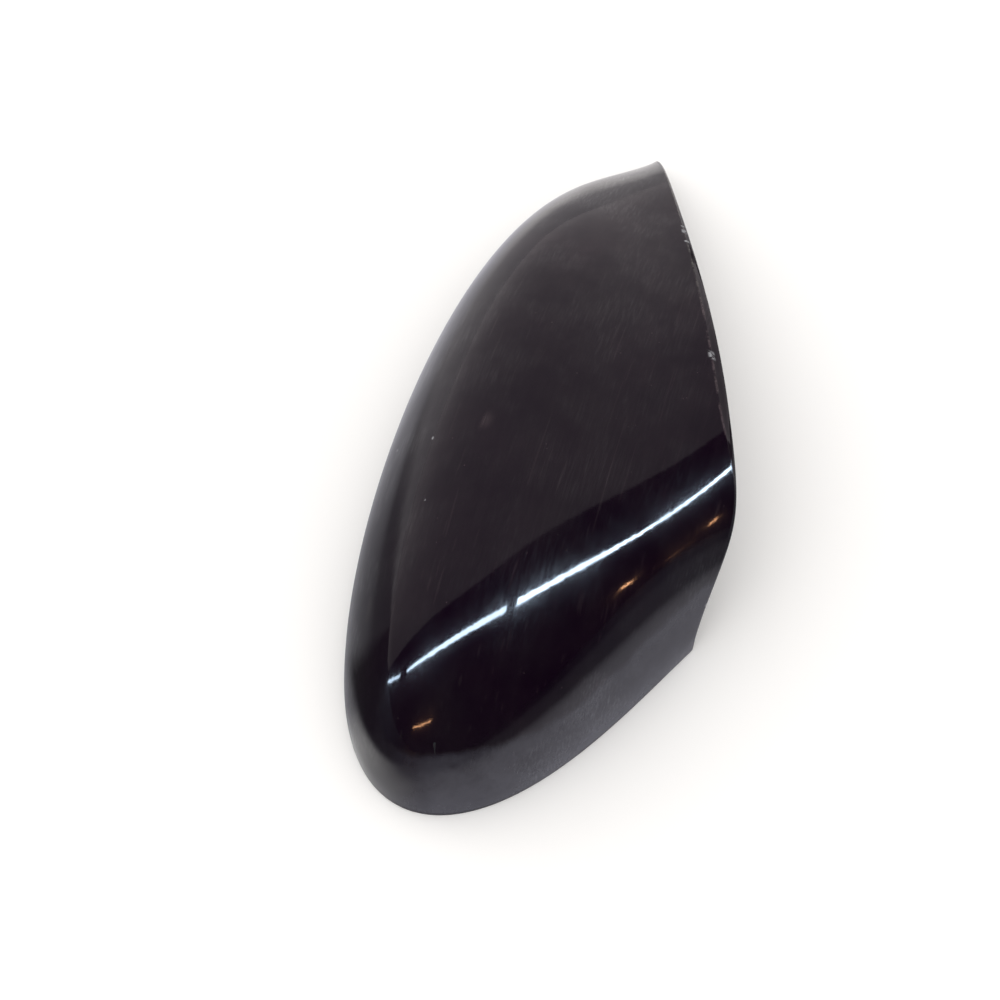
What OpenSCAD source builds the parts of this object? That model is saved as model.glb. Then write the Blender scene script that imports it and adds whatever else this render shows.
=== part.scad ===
// Wing mirror cover, moulded in one piece: a freeform shell cut off by an arched edge,
// with the clips, pegs and ribs of its hidden side moulded in. It lies on its rim, open side down.
// X runs along the length, Y across it, and the rim stands on Z = 0.

/* [Cover] */
// Length from the rounded end to the inboard tip
cover_len = 254; // [200:1:300]
// Width across the widest part of the plan
cover_w = 108; // [90:1:130]
// Height of the crown above the rim
cover_h = 58; // [50:1:70]
// Thickness of the moulded wall
wall_t = 2.5; // [2:0.1:3]
// How far the dome would run on below the rim, which sets the draft of its walls
draft_depth = 4.8; // [3:0.1:8]

/* [Form of the dome] */
// Roundness along the length
round_u = 0.883; // [0.8:0.001:1]
// Roundness across the width
round_v = 1.018; // [0.9:0.001:1.1]
// Turn of the crown from the long axis
turn_uv = -0.067; // [-0.1:0.001:0]
// Drawing out of the inboard end
draw_u = -0.303; // [-0.33:0.001:-0.2]
// Drawing in of the arch side towards the inboard end
draw_uuv = -0.319; // [-0.36:0.001:-0.26]
// Spreading of both sides towards the inboard end
spread_uvv = -0.979; // [-1.05:0.001:-0.9]
// Flattening of the long side against the arch side
flat_v = 0.382; // [0.3:0.001:0.45]
// Fullness of the shoulder along the length
full_u = -0.006; // [-0.01:0.001:0.03]
// Fullness of the shoulder at the rounded end
full_uuuv = 0.344; // [0.3:0.001:0.4]
// Fullness of the shoulder at the corners
full_uuvv = 0.029; // [0:0.001:0.1]
// Fullness of the near wall
full_uvvv = 0.822; // [0.7:0.001:0.9]
// Fullness of the shoulder across the width
full_v = 0.164; // [0.1:0.001:0.25]
// How much the inboard end is filled out towards its tip
tip_fill = 0.02; // [0:0.002:0.03]

/* [Arched edge] */
// Where the arched edge runs, as a share of the dome's half width
arch_v = -1.013; // [-1.1:0.001:-0.95]
// Slope of the edge across the plan
arch_slope = 0.118; // [0.08:0.001:0.16]
// How strongly the edge bends in towards the tip
arch_bend = 0.557; // [0.45:0.001:0.65]
// Where along the length the bend lies
arch_u = 0.044; // [0:0.001:0.1]
// Length of the bend
arch_soft = 0.08; // [0.05:0.01:0.2]
// Lean of the edge as the wall rises
arch_lean = 0.025; // [0:0.005:0.05]
// Width of the rolled lip along the arched edge
lip_w = 5; // [2:0.5:6]
// Depth to which the lip rolls down
lip_drop = 2.2; // [0.5:0.1:2.6]

/* [Clips] */
// Width of a snap clip
clip_w = 12; // [8:1:16]
// Thickness of a clip's blade
clip_t = 2.2; // [1.6:0.1:3]
// How far a clip stands inside the rim
clip_inset = 9; // [7:0.5:12]
// Height of a clip's tip above the rim plane
clip_z = 9; // [6:0.5:14]
// How far the hook stands out from the blade
hook_out = 1.8; // [1:0.1:2.5]
// Height of the hook
hook_h = 4; // [3:0.5:6]

/* [Pegs] */
// Diameter of a locating peg
peg_d = 5; // [4:0.5:7]
// Length of the peg below its boss
peg_len = 10; // [6:1:14]
// Height of the peg's tip above the rim plane
peg_z = 12; // [8:1:18]
// Diameter of the boss that carries the peg
boss_d = 9; // [8:0.5:12]

/* [Ribs] */
// Thickness of a rib
rib_t = 1.6; // [1.2:0.1:2.2]
// How far a rib stands down from the inside of the shell
rib_h = 5; // [3:0.5:8]
// Height above the rim plane at which the ribs end on the walls
rib_end_z = 22; // [16:1:30]
// Distance of the tongue from the arched edge
tongue_inset = 7; // [5:0.5:10]

/* [Hidden] */
eps = 0.01;
round_sides = 48;
corners = 4;

// Rows of the skins from the edge to the crown, and rays on the rim and along the arched edge
rows_out = 18;
rows_in = 9;
rays_rim = 96;
rays_arch = 52;
// Share of the way to the crown at which the second row lies
edge_row = 0.05;
// A reach is found by steps outward from a first one, then by halving the last step
first_reach = 0.05;
step_out = 1.06;
halvings = 26;

full_h = cover_h + draft_depth;
rim_level = 1 - pow(draft_depth / full_h, 2);

// Directions from the crown: one that crosses the arched edge, one past each of its corners
arch_side = -80;
past_tip = 20;
past_heel = -190;

// Middle and spread of the tip's filling, in the form's shares along and across the cover
tip_u = 1.3;
tip_v = -0.02;
tip_spread_u = 0.24;
tip_spread_v = 0.2;

// Where along the arched edge its lip begins to roll, and over which share it comes to the full roll
roll_from = 0.1;
roll_over = 0.25;
roll_fade = 0.6;

// Hook of a clip: shares of its height at which its nose begins and ends, and its blunt toe
nose_low = 0.6;
nose_top = 0.8;
toe = 0.4;
gusset_steps = 5;

// Fins of a peg: their reach past the boss, their depth outside, their start above the peg
fin_reach = 5;
fin_depth = 8;
fin_start = 2;

// Directions in which the clips stand, round the crown from the long axis
clip_angles = [35, 75, 130, 185, 225];
// Places of the pegs and ribs, as shares of the length and the width from the middle
peg_spots = [[-0.22, 0.05], [0.04, -0.04]];
rib_spots = [-0.34, -0.09, 0.16, 0.28];

// Pieces of a cross rib's curve, and its gap to the tongue as a share of the tongue's inset
rib_steps = 12;
rib_gap = 0.2;
// The tongue takes every second ray along the arch, and leaves some out at each end
tongue_step = 2;
tongue_end = 8;

function tip_filling(u, v) =
    tip_fill * exp(-pow((u - tip_u) / tip_spread_u, 2) - pow((v - tip_v) / tip_spread_v, 2));

// Height function of the dome: the quartic that is 0 at the crown and 1 at the lowest outline
function dome_form(u, v) =
    round_u * u * u + turn_uv * u * v + round_v * v * v
    + draw_u * pow(u, 3) + draw_uuv * u * u * v + spread_uvv * u * v * v + flat_v * pow(v, 3)
    + full_u * pow(u, 4) + full_uuuv * pow(u, 3) * v + full_uuvv * u * u * v * v
    + full_uvvv * u * pow(v, 3) + full_v * pow(v, 4) - tip_filling(u, v);

function form_du(u, v) =
    2 * round_u * u + turn_uv * v + 3 * draw_u * u * u + 2 * draw_uuv * u * v + spread_uvv * v * v
    + 4 * full_u * pow(u, 3) + 3 * full_uuuv * u * u * v + 2 * full_uuvv * u * v * v
    + full_uvvv * pow(v, 3) + 2 * (u - tip_u) / pow(tip_spread_u, 2) * tip_filling(u, v);

function form_dv(u, v) =
    turn_uv * u + 2 * round_v * v + draw_uuv * u * u + 2 * spread_uvv * u * v + 3 * flat_v * v * v
    + full_uuuv * pow(u, 3) + 2 * full_uuvv * u * u * v + 3 * full_uvvv * u * v * v
    + 4 * full_v * pow(v, 3) + 2 * (v - tip_v) / pow(tip_spread_v, 2) * tip_filling(u, v);

// Along one direction the form depends on the distance alone: three terms, then the direction
function ray_terms(a) =
    let(c = cos(a), s = sin(a))
    [
        round_u * c * c + turn_uv * c * s + round_v * s * s,
        draw_u * pow(c, 3) + draw_uuv * c * c * s + spread_uvv * c * s * s + flat_v * pow(s, 3),
        full_u * pow(c, 4) + full_uuuv * pow(c, 3) * s + full_uuvv * c * c * s * s
            + full_uvvv * c * pow(s, 3) + full_v * pow(s, 4),
        c,
        s
    ];

function ray_form(k, r) =
    r * r * (k[0] + r * (k[1] + r * k[2])) - tip_filling(r * k[3], r * k[4]);

// First step at which the form has passed a level, or has stopped rising, as it does past the arch
function first_past(k, level, r = first_reach) =
    ray_form(k, r) >= level || ray_form(k, r * step_out) < ray_form(k, r) ? r
    : first_past(k, level, r * step_out);

function halve_form(k, level, lo, hi, n = halvings) =
    let(mid = (lo + hi) / 2)
    n == 0 ? mid
    : ray_form(k, mid) < level ? halve_form(k, level, mid, hi, n - 1)
    : halve_form(k, level, lo, mid, n - 1);

function ray_reach(k, level) =
    level <= 0 ? 0 : let(hi = first_past(k, level)) halve_form(k, level, hi / step_out, hi);

function level_height(level) = full_h * sqrt(max(0, 1 - level)) - draft_depth;

// The arched edge, as the across position that it has at a place along the length and a height
function arch_line(u, z) =
    arch_v + arch_slope * (u - arch_u) + arch_bend * norm([u - arch_u, arch_soft])
    + arch_lean * z / cover_h;

function past_arch(a, r, z) = r * sin(a) - arch_line(r * cos(a), z);

function rim_reach(a) = ray_reach(ray_terms(a), rim_level);

function rim_past_arch(a) = past_arch(a, rim_reach(a), 0);

// Direction of a corner, where the rim meets the arched edge: kept lies inside the cover, cut outside
function corner_angle(kept, cut, n = halvings) =
    let(mid = (kept + cut) / 2)
    n == 0 ? mid
    : rim_past_arch(mid) > 0 ? corner_angle(mid, cut, n - 1)
    : corner_angle(kept, mid, n - 1);

function ray_past_arch(a, k, r) = past_arch(a, r, level_height(ray_form(k, r)));

function first_past_arch(a, k, r = first_reach) =
    ray_past_arch(a, k, r) < 0 ? r : first_past_arch(a, k, r * step_out);

function halve_arch(a, k, lo, hi, n = halvings) =
    let(mid = (lo + hi) / 2)
    n == 0 ? mid
    : ray_past_arch(a, k, mid) > 0 ? halve_arch(a, k, mid, hi, n - 1)
    : halve_arch(a, k, lo, mid, n - 1);

function arch_reach(a, k) =
    let(hi = first_past_arch(a, k)) halve_arch(a, k, hi / step_out, hi);

tip_angle = corner_angle(past_tip, arch_side);
heel_angle = corner_angle(past_heel, arch_side);

// Every ray: [direction, share of the way along the arched edge, or -1 on the rim]
rays = concat(
    [for (i = [0 : rays_arch - 1])
        let(s = (1 - cos(180 * i / rays_arch)) / 2)
        [heel_angle + (tip_angle - heel_angle) * s, i == 0 ? -1 : s]],
    [for (i = [0 : rays_rim - 1])
        [tip_angle + (heel_angle + 360 - tip_angle) * i / rays_rim, -1]]
);

function edge_reach(ray) =
    let(k = ray_terms(ray[0]))
    ray[1] < 0 ? ray_reach(k, rim_level) : arch_reach(ray[0], k);

edge_uv = [for (ray = rays) edge_reach(ray) * [cos(ray[0]), sin(ray[0])]];
u_all = [for (p = edge_uv) p[0]];
v_all = [for (p = edge_uv) p[1]];
unit_u = cover_len / (max(u_all) - min(u_all));
unit_v = cover_w / (max(v_all) - min(v_all));
centre_x = unit_u * (max(u_all) + min(u_all)) / 2;
centre_y = unit_v * (max(v_all) + min(v_all)) / 2;

function unit(v) = v / norm(v);

function place_uv(u, v, z) = [u * unit_u - centre_x, v * unit_v - centre_y, z];

function uv_of(x, y) = [(x + centre_x) / unit_u, (y + centre_y) / unit_v];

function dome_z(x, y) = let(p = uv_of(x, y)) level_height(dome_form(p[0], p[1]));

// Outward direction of the shell at a place in the plan
function dome_normal(u, v) =
    let(
        level = min(dome_form(u, v), 1 - eps * eps),
        steep = full_h / (2 * sqrt(1 - level))
    )
    unit([steep * form_du(u, v) / unit_u, steep * form_dv(u, v) / unit_v, 1]);

function normal_at(x, y) = let(p = uv_of(x, y)) dome_normal(p[0], p[1]);

// Heights at the middle and the inside of the wall
function mid_z(x, y) = dome_z(x, y) - wall_t / 2 / normal_at(x, y)[2];

function inside_z(x, y) = dome_z(x, y) - wall_t / normal_at(x, y)[2];

// Share of the full roll that the lip has: none on the near wall's edge, most past the shoulder
function roll_share(s) =
    let(rise = min(1, max(0, (s - roll_from) / roll_over)))
    s < 0 ? 0 : rise * rise * (3 - 2 * rise) * pow(1 - s, roll_fade);

// Direction in which the arched edge faces, in the plane of the shell
function arch_facing(u, n) =
    let(
        d = arch_slope + arch_bend * (u - arch_u) / norm([u - arch_u, arch_soft]),
        away = [d / unit_u, -1 / unit_v, arch_lean / cover_h]
    )
    unit(away - (away * n) * n);

// Place on the dome along a ray: share 0 is the edge, share 1 the crown, and the first row is the lip
function ray_row(ray, t) =
    let(
        k = ray_terms(ray[0]),
        edge = edge_reach(ray),
        lip = max(edge * (1 - cos(90 * edge_row)), roll_share(ray[1]) * lip_w / unit_v),
        r = t == 0 ? edge : (edge - lip) * cos(90 * (t - edge_row) / (1 - edge_row))
    )
    [r * cos(ray[0]), r * sin(ray[0]), level_height(ray_form(k, r))];

function outer_point(ray, t) =
    let(
        p = ray_row(ray, t),
        n = dome_normal(p[0], p[1]),
        q = place_uv(p[0], p[1], max(0, p[2]))
    )
    t == 0 && ray[1] < 0 ? [q[0], q[1], 0] : t == 0 ? q - lip_drop * roll_share(ray[1]) * n : q;

function inner_point(ray, t) =
    let(
        p = ray_row(ray, t),
        n = dome_normal(p[0], p[1]),
        q = outer_point(ray, t),
        flat = unit([n[0], n[1], 0]),
        rolled = unit(n + roll_share(ray[1]) * arch_facing(p[0], n)),
        at = q - wall_t * (t > 0 ? n : ray[1] < 0 ? flat : rolled)
    )
    [at[0], at[1], max(0, at[2])];

function row_share(j, rows) = j == 0 ? 0 : edge_row + (1 - edge_row) * (j - 1) / (rows - 1);

// The shell is two skins of rays that run from the edge to the crown, joined round the edge
module shell() {
    n = len(rays);
    outer = [for (j = [0 : rows_out - 1]) for (ray = rays) outer_point(ray, row_share(j, rows_out))];
    inner = [for (j = [0 : rows_in - 1]) for (ray = rays) inner_point(ray, row_share(j, rows_in))];
    crown = place_uv(0, 0, cover_h);
    points = concat(outer, [crown], inner, [crown - [0, 0, wall_t]]);
    top = n * rows_out;
    first_in = top + 1;
    top_in = first_in + n * rows_in;
    skin_out = [for (j = [0 : rows_out - 2]) for (i = [0 : n - 1])
        let(a = j * n + i, b = j * n + (i + 1) % n) each [[a, b, b + n], [a, b + n, a + n]]];
    skin_in = [for (j = [0 : rows_in - 2]) for (i = [0 : n - 1])
        let(a = first_in + j * n + i, b = first_in + j * n + (i + 1) % n)
        each [[a, b + n, b], [a, a + n, b + n]]];
    caps = [for (i = [0 : n - 1]) let(k = (i + 1) % n) each [
        [(rows_out - 1) * n + i, (rows_out - 1) * n + k, top],
        [first_in + (rows_in - 1) * n + k, first_in + (rows_in - 1) * n + i, top_in]
    ]];
    edge = [for (i = [0 : n - 1]) let(k = (i + 1) % n) each [
        [i, first_in + i, first_in + k],
        [i, first_in + k, k]
    ]];
    polyhedron(points, [for (f = concat(skin_out, skin_in, caps, edge)) [f[2], f[1], f[0]]], convexity = 8);
}

// Place on the rim in a direction, with the way out of the cover there
function rim_place(a) = let(r = rim_reach(a)) place_uv(r * cos(a), r * sin(a), 0);

function rim_out(a) =
    let(r = rim_reach(a), u = r * cos(a), v = r * sin(a))
    unit([form_du(u, v) / unit_u, form_dv(u, v) / unit_v]);

function shift(p, way, d) = [p[0] + way[0] * d, p[1] + way[1] * d];

// Distance along a way at which the middle of the wall has come down to a height
function wall_at(p, way, z, lo, hi, n = halvings) =
    let(mid = (lo + hi) / 2, q = shift(p, way, mid))
    n == 0 ? mid
    : mid_z(q[0], q[1]) > z ? wall_at(p, way, z, mid, hi, n - 1)
    : wall_at(p, way, z, lo, mid, n - 1);

module upright_plate(p, way, thick, outline) {
    translate([p[0], p[1], 0])
        rotate([0, 0, atan2(way[1], way[0])])
            rotate([90, 0, 0])
                translate([0, 0, -thick / 2])
                    linear_extrude(thick)
                        polygon(outline);
}

// A snap clip: a blade that hangs from the shell, a hook on its inner face and a gusset at each side
module clip(a) {
    way = rim_out(a);
    side = [-way[1], way[0]];
    p = shift(rim_place(a), way, -clip_inset);
    back = shift(p, way, clip_t / 2);
    front = shift(p, way, -clip_t / 2);
    gusset_z = clip_z + 2 * hook_h;
    upright_plate(p, way, clip_w, [
        [clip_t / 2, clip_z],
        [clip_t / 2, mid_z(back[0], back[1])],
        [-clip_t / 2, mid_z(front[0], front[1])],
        [-clip_t / 2, clip_z + hook_h],
        [-clip_t / 2 - hook_out, clip_z + hook_h * nose_top],
        [-clip_t / 2 - hook_out, clip_z + hook_h * nose_low],
        [-clip_t / 2 + toe, clip_z]
    ]);
    for (end = [-1, 1]) {
        q = shift(p, side, end * (clip_w - rib_t) / 2);
        out = wall_at(q, way, gusset_z, 0, clip_inset);
        upright_plate(q, way, rib_t, concat(
            [[0, gusset_z + hook_h], [out, gusset_z]],
            [for (i = [gusset_steps - 1 : -1 : 0])
                let(d = out * i / gusset_steps, c = shift(q, way, d)) [d, mid_z(c[0], c[1])]]
        ));
    }
}

// A locating peg under its boss, with four fins that stiffen the boss
module peg(x, y) {
    top = mid_z(x, y);
    boss_z = peg_z + peg_len;
    fin_out = boss_d / 2 + fin_reach;
    translate([x, y, boss_z])
        cylinder(h = top - boss_z, d = boss_d, $fn = round_sides);
    translate([x, y, peg_z])
        cylinder(h = peg_len + eps, d = peg_d, $fn = round_sides);
    for (a = [45 : 90 : 315]) {
        way = [cos(a), sin(a)];
        q = shift([x, y], way, fin_out);
        upright_plate([x, y], way, rib_t, [
            [0, boss_z + fin_start],
            [boss_d / 2, boss_z + fin_start],
            [fin_out, top - fin_depth],
            [fin_out, mid_z(q[0], q[1])],
            [0, top]
        ]);
    }
}

// A stiffening rib across the cover, which follows the inside of the shell from the long wall
// to the tongue, or to the near wall where the arched edge has ended
module cross_rib(x) {
    up = wall_at([x, 0], [0, 1], rib_end_z, 0, cover_w / 2);
    down = wall_at([x, 0], [0, -1], rib_end_z, 0, cover_w / 2);
    arch_y = arch_line(uv_of(x, 0)[0], rib_end_z) * unit_v - centre_y;
    from = max(-down, arch_y + tongue_inset * (1 + rib_gap));
    spots = [for (i = [0 : rib_steps]) (up - from) * i / rib_steps];
    upright_plate([x, from], [0, 1], rib_t, concat(
        [for (d = spots) [d, mid_z(x, from + d)]],
        [for (i = [rib_steps : -1 : 0]) [spots[i], inside_z(x, from + spots[i]) - rib_h]]
    ));
}

// The tongue that runs beside the arched edge, inside it, and tucks behind the lower housing
module tongue() {
    line = [for (i = [tongue_end : tongue_step : rays_arch - tongue_end])
        let(
            p = edge_uv[i],
            at = place_uv(p[0], p[1], 0),
            d = arch_slope + arch_bend * (p[0] - arch_u) / norm([p[0] - arch_u, arch_soft]),
            way = unit([-d / unit_u, 1 / unit_v])
        )
        [shift(at, way, tongue_inset), shift(at, way, tongue_inset + rib_t)]];
    points = [for (pair = line) each [
        [pair[0][0], pair[0][1], mid_z(pair[0][0], pair[0][1])],
        [pair[1][0], pair[1][1], mid_z(pair[1][0], pair[1][1])],
        [pair[1][0], pair[1][1], inside_z(pair[1][0], pair[1][1]) - rib_h],
        [pair[0][0], pair[0][1], inside_z(pair[0][0], pair[0][1]) - rib_h]
    ]];
    last = corners * (len(line) - 1);
    sides = [for (i = [0 : len(line) - 2]) for (j = [0 : corners - 1])
        let(a = corners * i + j, b = corners * i + (j + 1) % corners)
        each [[a, b, b + corners], [a, b + corners, a + corners]]];
    ends = [[0, 3, 2], [0, 2, 1], [last, last + 1, last + 2], [last, last + 2, last + 3]];
    polyhedron(points, concat(sides, ends), convexity = 6);
}

module mirror_cover() {
    color("#17141b") {
        union() {
            shell();
            for (a = clip_angles) clip(a);
            for (p = peg_spots) peg(p[0] * cover_len, p[1] * cover_w);
            tongue();
            for (p = rib_spots) cross_rib(p * cover_len);
        }
    }
}

mirror_cover();
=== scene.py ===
# %% [markdown]
# # A wing mirror cover
# The cover is one gloss black moulding that snaps over the back of a wing mirror. This notebook loads
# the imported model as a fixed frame, builds a smoother copy of the moulding in the same place, gives it
# its worn gloss, and lights it like the photograph. The moulding's sizes are in millimetres until its
# mesh is scaled. Places in materials and in the studio are in metres. The cover lies on its rim at
# Z = 0 with its length along X.

# %% Load the frame
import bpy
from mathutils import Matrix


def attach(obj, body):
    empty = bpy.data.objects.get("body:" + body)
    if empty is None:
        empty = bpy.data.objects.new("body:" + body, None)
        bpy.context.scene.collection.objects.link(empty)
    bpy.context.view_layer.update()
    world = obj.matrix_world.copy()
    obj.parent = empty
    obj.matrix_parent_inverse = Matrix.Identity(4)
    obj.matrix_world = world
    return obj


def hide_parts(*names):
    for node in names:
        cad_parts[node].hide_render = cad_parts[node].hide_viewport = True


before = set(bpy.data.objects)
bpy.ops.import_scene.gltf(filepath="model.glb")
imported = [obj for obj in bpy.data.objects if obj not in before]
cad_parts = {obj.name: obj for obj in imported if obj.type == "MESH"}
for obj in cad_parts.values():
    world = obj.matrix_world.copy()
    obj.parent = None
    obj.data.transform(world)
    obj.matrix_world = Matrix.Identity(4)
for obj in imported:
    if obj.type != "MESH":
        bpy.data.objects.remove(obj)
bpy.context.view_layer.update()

# %% Other modules
import math
import bmesh
import bpy
from mathutils import Matrix, Vector

MM = 0.001

# %% [markdown]
# ## Camera
# The photograph looks down at 55 degrees with a narrow lens. The cover's length runs away from the
# camera, a little to the right. A short field of view keeps the near end from swelling.

# %% Camera
FIELD_OF_VIEW = 26
camera_data = bpy.data.cameras.new("photo_camera")
camera_data.sensor_fit = "HORIZONTAL"
camera_data.angle = math.radians(FIELD_OF_VIEW)
camera = bpy.data.objects.new("photo_camera", camera_data)
bpy.context.scene.collection.objects.link(camera)
camera.location = Vector((-381.0, -85.4, 536.5)) * MM
aim = Vector((-19.8, 18.1, 0)) * MM
camera.rotation_euler = (aim - camera.location).to_track_quat("-Z", "Y").to_euler()
bpy.context.scene.camera = camera
print("camera", (aim - camera.location).length, "m from the middle")

# %% [markdown]
# ## Form of the dome
# A mirror cover is a freeform surface, so no cylinder or sphere fits it. It could be a subdivided box
# with its points pulled into place, but each pulled point leaves a small dent, and gloss shows every
# dent in its reflections. So its plan and its fullness come from one polynomial of two shares, `u` along
# the cover and `v` across it. The polynomial is 0 at the crown and 1 where the wall would stand upright,
# and the height is an ellipse's height over it. That gives a skin with no seams.

# %% Values of the form
LENGTH, WIDTH, HEIGHT, WALL = 254, 108, 58, 2.5
DRAFT = 4.8  # how far the ellipse runs on below the rim
FORM = {
    (2, 0): 0.883, (1, 1): -0.067, (0, 2): 1.018,
    (3, 0): -0.303, (2, 1): -0.319, (1, 2): -0.979, (0, 3): 0.382,
    (4, 0): -0.006, (3, 1): 0.344, (2, 2): 0.029, (1, 3): 0.822, (0, 4): 0.164,
}
ARCH_U, ARCH_V, ARCH_SLOPE = 0.044, -1.013, 0.118
ARCH_BEND, ARCH_SOFT, ARCH_LEAN = 0.557, 0.08, 0.025
TIP_FILL, TIP_U, TIP_V, TIP_SPREAD_U, TIP_SPREAD_V = 0.02, 1.3, -0.02, 0.24, 0.2
LIP_WIDTH, LIP_DROP = 3.7, 2.2
FULL = HEIGHT + DRAFT
RIM_LEVEL = 1 - (DRAFT / FULL) ** 2


# %% The form, its slope and its height
def tip_filling(u, v):
    """A small swelling that fills the cover out towards its tip."""
    return TIP_FILL * math.exp(-((u - TIP_U) / TIP_SPREAD_U) ** 2 - ((v - TIP_V) / TIP_SPREAD_V) ** 2)


def form(u, v):
    return sum(share * u ** i * v ** j for (i, j), share in FORM.items()) - tip_filling(u, v)


def form_slope(u, v):
    along = sum(share * i * u ** (i - 1) * v ** j for (i, j), share in FORM.items() if i)
    across = sum(share * j * u ** i * v ** (j - 1) for (i, j), share in FORM.items() if j)
    swell = 2 * tip_filling(u, v)
    return (along + swell * (u - TIP_U) / TIP_SPREAD_U ** 2,
            across + swell * (v - TIP_V) / TIP_SPREAD_V ** 2)


def height(level):
    return FULL * math.sqrt(max(0, 1 - level)) - DRAFT


# %% The arched cut
def arch_line(u, z):
    """The `v` of the cut at a `u` and a height."""
    lean = ARCH_LEAN * z / HEIGHT
    return ARCH_V + ARCH_SLOPE * (u - ARCH_U) + ARCH_BEND * math.hypot(u - ARCH_U, ARCH_SOFT) + lean


def arch_bend(u):
    """How fast the cut's `v` changes with `u`."""
    return ARCH_SLOPE + ARCH_BEND * (u - ARCH_U) / math.hypot(u - ARCH_U, ARCH_SOFT)


print("form at the crown", form(0, 0), "height there", height(0), "mm")

# %% [markdown]
# ## The cover's outline
# One edge of the real cover lies flat, and the other is cut in an arch, probably to clear the arm.
# The outline is found by walking out from the crown in every direction until the wall reaches the rim
# plane or the arched cut. The two corners, where the rim meets the arch, get a direction of their own,
# so that they stay crisp. Cutting a finished dome with a boolean would leave ragged rows there.

# %% Walking out to the outline
HALVINGS, FIRST_REACH, LONGER, JUST_PAST = 40, 0.05, 1.03, 1.0005


def halved(low, high, passed):
    """The place between low and high at which passed turns true."""
    for _ in range(HALVINGS):
        half_way = (low + high) / 2
        low, high = (low, half_way) if passed(half_way) else (half_way, high)
    return (low + high) / 2


def walk_out(angle):
    """Distance to the outline in a direction, and whether the arch was met there."""
    c, s = math.cos(angle), math.sin(angle)

    def at_arch(r):
        return r * s < arch_line(r * c, height(form(r * c, r * s)))

    def at_rim(r):
        return form(r * c, r * s) >= RIM_LEVEL

    r = FIRST_REACH
    while not (at_arch(r) or at_rim(r)):
        r *= LONGER
    reach = halved(r / LONGER, r, lambda x: at_arch(x) or at_rim(x))
    return reach, not at_rim(reach * JUST_PAST)


# %% The two corners
TIP_SIDE, ARCH_SIDE, HEEL_SIDE = 20, -80, -190  # degrees that surely meet the rim, the arch and the rim


def corner(kept, cut):
    """Direction of the corner between one that meets the rim and one that meets the arch."""
    return halved(math.radians(kept), math.radians(cut), lambda angle: walk_out(angle)[1])


tip_angle = corner(TIP_SIDE, ARCH_SIDE)
heel_angle = corner(HEEL_SIDE, ARCH_SIDE)
print("corners at", round(math.degrees(tip_angle), 2), round(math.degrees(heel_angle), 2), "degrees")

# %% Directions that split the outline evenly
FINE_STEPS, ROUGH_UNIT_U, ROUGH_UNIT_V, HAIR = 900, 100, 60, 1e-7


def spaced(first, last, count):
    """Directions from first up to last that split that part of the outline into equal lengths."""
    fine = [first + (last - first) * i / FINE_STEPS for i in range(FINE_STEPS + 1)]
    places = []
    for i, angle in enumerate(fine):
        inwards = 10 * HAIR if i == 0 else -10 * HAIR if i == FINE_STEPS else 0
        reach = walk_out(angle + inwards)[0]
        places.append((reach * math.cos(angle) * ROUGH_UNIT_U, reach * math.sin(angle) * ROUGH_UNIT_V))
    lengths = [0]
    for a, b in zip(places, places[1:]):
        lengths.append(lengths[-1] + math.dist(a, b))
    angles, k = [], 0
    for i in range(count):
        wanted = lengths[-1] * i / count
        while lengths[k + 1] < wanted:
            k += 1
        share = (wanted - lengths[k]) / (lengths[k + 1] - lengths[k])
        angles.append(fine[k] + (fine[k + 1] - fine[k]) * share)
    return angles


# %% Rays from the crown: direction, reach, roll of the lip, and whether the ray meets the arch
ARCH_RAYS, RIM_RAYS = 150, 330
ROLL_START, ROLL_RISE, ROLL_FADE = 0.1, 0.25, 0.6


def roll(share):
    """How much of its full roll the lip has at a share of the way along the arch."""
    rise = min(1, max(0, (share - ROLL_START) / ROLL_RISE))
    return rise * rise * (3 - 2 * rise) * (1 - share) ** ROLL_FADE


rays = []
for angle in spaced(heel_angle, tip_angle, ARCH_RAYS):
    share = (angle - heel_angle) / (tip_angle - heel_angle)
    on_arch = angle > heel_angle
    reach = walk_out(angle if on_arch else heel_angle - HAIR)[0]
    rays.append((angle, reach, roll(share) if on_arch else 0, on_arch))
for angle in spaced(tip_angle, heel_angle + 2 * math.pi, RIM_RAYS):
    rays.append((angle, walk_out(max(angle, tip_angle + HAIR))[0], 0, False))
print("rays", len(rays))

# %% Units that give the outline its real length and width
us = [reach * math.cos(angle) for angle, reach, _, _ in rays]
vs = [reach * math.sin(angle) for angle, reach, _, _ in rays]
UNIT_U = LENGTH / (max(us) - min(us))
UNIT_V = WIDTH / (max(vs) - min(vs))
CENTRE_X = UNIT_U * (max(us) + min(us)) / 2
CENTRE_Y = UNIT_V * (max(vs) + min(vs)) / 2
print("units", UNIT_U, UNIT_V, "crown at", -CENTRE_X, -CENTRE_Y)


# %% Places on the skin
def place(u, v, z):
    return Vector((u * UNIT_U - CENTRE_X, v * UNIT_V - CENTRE_Y, z))


def uv_at(x, y):
    return (x + CENTRE_X) / UNIT_U, (y + CENTRE_Y) / UNIT_V


def outward(u, v):
    """Outward direction of the skin."""
    level = min(form(u, v), 1 - 1e-4)
    steep = FULL / (2 * math.sqrt(1 - level))
    along, across = form_slope(u, v)
    return Vector((steep * along / UNIT_U, steep * across / UNIT_V, 1)).normalized()


def wall_z(x, y, share):
    """Height in the wall over a place: share 0 is its outside and 1 its inside."""
    u, v = uv_at(x, y)
    return height(form(u, v)) - share * WALL / outward(u, v).z


# %% [markdown]
# ## Rows of the two skins
# Each skin is a set of rings that shrink from the outline to the crown. Close to the arch the first
# rings roll down over the lip. Their spacing leaves room for a small bevel on the moulding's edges.

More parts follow.
